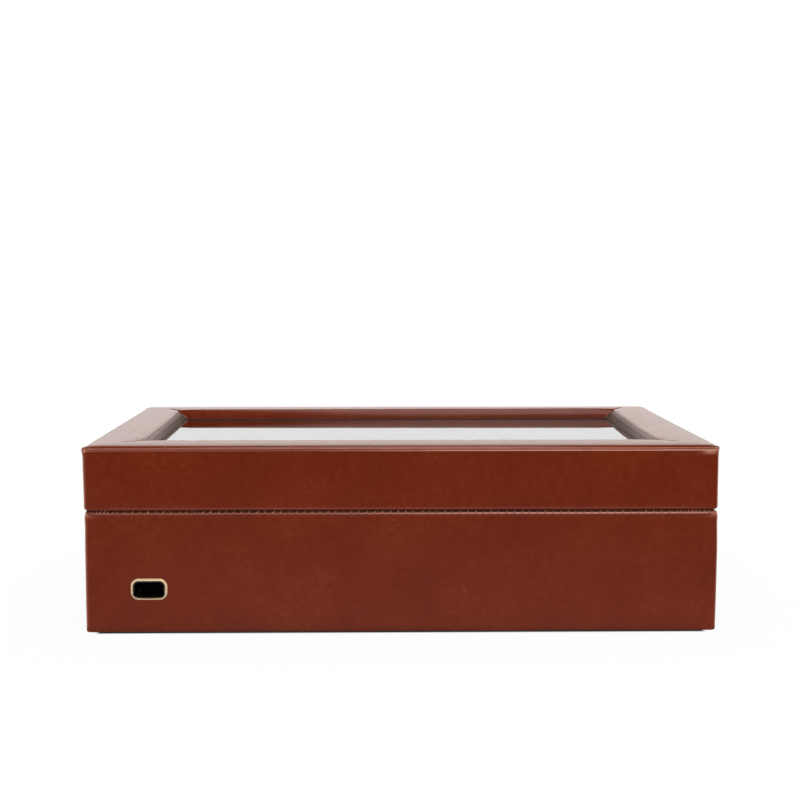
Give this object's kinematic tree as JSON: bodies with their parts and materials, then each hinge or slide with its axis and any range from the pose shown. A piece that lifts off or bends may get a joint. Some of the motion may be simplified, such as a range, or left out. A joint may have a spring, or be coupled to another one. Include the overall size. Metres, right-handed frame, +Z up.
{
  "type": "watch box with drawer",
  "caption": "Leather-covered watch box: hinged glass lid, tray of removable pillows, a drawer below, and a cable port in the back.",
  "frame": {"origin": "middle of the flat underside of the base pad", "axes": "+Z up; -Y is the front with the drawer and the lock; +Y is the back with the hinge and the cable port; +X is to the right for a person facing the front"},
  "size_m": [0.33, 0.231, 0.098],
  "materials": {
    "cover_leather": "smooth reddish-brown coated leather, semi-gloss, with a strong sheen at grazing angles",
    "hinge_leather": "the same leather, creased and sewn",
    "board": "fibreboard",
    "drawer_board": "stained fibreboard",
    "base_felt": "dark felt",
    "padding_foam": "thin foam sheet",
    "lining_suede": "brushed micro-suede",
    "pillow_suede": "brushed micro-suede over foam",
    "clear_glass": "clear polished glass",
    "polished_brass": "polished",
    "zinc_steel": "zinc plated",
    "runner_plastic": "slick black plastic",
    "sleeve_plastic": "gloss black"
  },
  "bodies": {
    "case": {"case_cover": "cover_leather", "side_wall_left": "board", "side_wall_right": "board", "back_wall": "board", "front_rail": "board", "base_board": "board", "base_pad": "base_felt", "deck_board": "board", "tray_floor_lining": "lining_suede", "tray_wall_lining": "lining_suede", "divider_long": "lining_suede", "cross_dividers": "lining_suede", "drawer_runners": "runner_plastic", "drawer_stop": "runner_plastic", "cable_port_ring": "polished_brass", "cable_port_sleeve": "sleeve_plastic", "lock_escutcheon": "polished_brass", "lock_barrel": "polished_brass", "stay_guide_pins": "polished_brass", "hinge_web": "hinge_leather"},
    "lid": {"lid_cover": "cover_leather", "lid_wall_front": "board", "lid_wall_back": "board", "lid_wall_left": "board", "lid_wall_right": "board", "lid_top_frame": "board", "lid_padding": "padding_foam", "glass_pane": "clear_glass", "glass_retainer": "lining_suede", "lid_lining": "lining_suede", "lock_strike": "polished_brass", "stay_pivot_screws": "polished_brass"},
    "stay_left": {"stay_arm_left": "polished_brass"},
    "stay_right": {"stay_arm_right": "polished_brass"},
    "drawer": {"drawer_front": "board", "drawer_front_cover": "cover_leather", "drawer_side_left": "drawer_board", "drawer_side_right": "drawer_board", "drawer_back": "drawer_board", "drawer_bottom": "drawer_board", "drawer_lining": "lining_suede", "drawer_knob": "polished_brass", "drawer_knob_screw": "zinc_steel"},
    "lock": {"lock_plug": "polished_brass", "lock_cam": "zinc_steel"},
    "pillow_1": {"watch_pillow_1": "pillow_suede"},
    "pillow_2": {"watch_pillow_2": "pillow_suede"},
    "pillow_3": {"watch_pillow_3": "pillow_suede"},
    "pillow_4": {"watch_pillow_4": "pillow_suede"},
    "pillow_5": {"watch_pillow_5": "pillow_suede"},
    "pillow_6": {"watch_pillow_6": "pillow_suede"},
    "pillow_7": {"watch_pillow_7": "pillow_suede"},
    "pillow_8": {"watch_pillow_8": "pillow_suede"},
    "pillow_9": {"watch_pillow_9": "pillow_suede"},
    "pillow_10": {"watch_pillow_10": "pillow_suede"},
    "pillow_11": {"watch_pillow_11": "pillow_suede"},
    "pillow_12": {"watch_pillow_12": "pillow_suede"}
  },
  "joints": [
    {"name": "lid_hinge", "type": "hinge", "parent": "case", "child": "lid", "pos_m": [0, 0.1072, 0.064], "axis": [-1, 0, 0], "range_deg": [0, 95], "deforming": ["hinge_web"]},
    {"name": "stay_pivot_left", "type": "hinge", "parent": "lid", "child": "stay_left", "pos_m": [-0.153, 0.08402, 0.07021], "axis": [-1, 0, 0], "range_deg": [-47.5, 0]},
    {"name": "stay_pivot_right", "type": "hinge", "parent": "lid", "child": "stay_right", "pos_m": [0.153, 0.08402, 0.07021], "axis": [-1, 0, 0], "range_deg": [-47.5, 0]},
    {"name": "drawer_slide", "type": "slide", "parent": "case", "child": "drawer", "axis": [0, -1, 0], "range_m": [0, 0.12]},
    {"name": "lock_turn", "type": "hinge", "parent": "case", "child": "lock", "pos_m": [0, -0.104, 0.05], "axis": [0, -1, 0], "range_deg": [0, 90]},
    {"name": "pillow_lift_1", "type": "slide", "parent": "case", "child": "pillow_1", "axis": [0, 0, 1], "range_m": [0, 0.0115]},
    {"name": "pillow_lift_2", "type": "slide", "parent": "case", "child": "pillow_2", "axis": [0, 0, 1], "range_m": [0, 0.0115]},
    {"name": "pillow_lift_3", "type": "slide", "parent": "case", "child": "pillow_3", "axis": [0, 0, 1], "range_m": [0, 0.0115]},
    {"name": "pillow_lift_4", "type": "slide", "parent": "case", "child": "pillow_4", "axis": [0, 0, 1], "range_m": [0, 0.0115]},
    {"name": "pillow_lift_5", "type": "slide", "parent": "case", "child": "pillow_5", "axis": [0, 0, 1], "range_m": [0, 0.0115]},
    {"name": "pillow_lift_6", "type": "slide", "parent": "case", "child": "pillow_6", "axis": [0, 0, 1], "range_m": [0, 0.0115]},
    {"name": "pillow_lift_7", "type": "slide", "parent": "case", "child": "pillow_7", "axis": [0, 0, 1], "range_m": [0, 0.0115]},
    {"name": "pillow_lift_8", "type": "slide", "parent": "case", "child": "pillow_8", "axis": [0, 0, 1], "range_m": [0, 0.0115]},
    {"name": "pillow_lift_9", "type": "slide", "parent": "case", "child": "pillow_9", "axis": [0, 0, 1], "range_m": [0, 0.0115]},
    {"name": "pillow_lift_10", "type": "slide", "parent": "case", "child": "pillow_10", "axis": [0, 0, 1], "range_m": [0, 0.0115]},
    {"name": "pillow_lift_11", "type": "slide", "parent": "case", "child": "pillow_11", "axis": [0, 0, 1], "range_m": [0, 0.0115]},
    {"name": "pillow_lift_12", "type": "slide", "parent": "case", "child": "pillow_12", "axis": [0, 0, 1], "range_m": [0, 0.0115]}
  ],
  "couplings": [
    {"joint": "stay_pivot_left", "follows": "lid_hinge", "ratio": -0.5},
    {"joint": "stay_pivot_right", "follows": "lid_hinge", "ratio": -0.5}
  ]
}
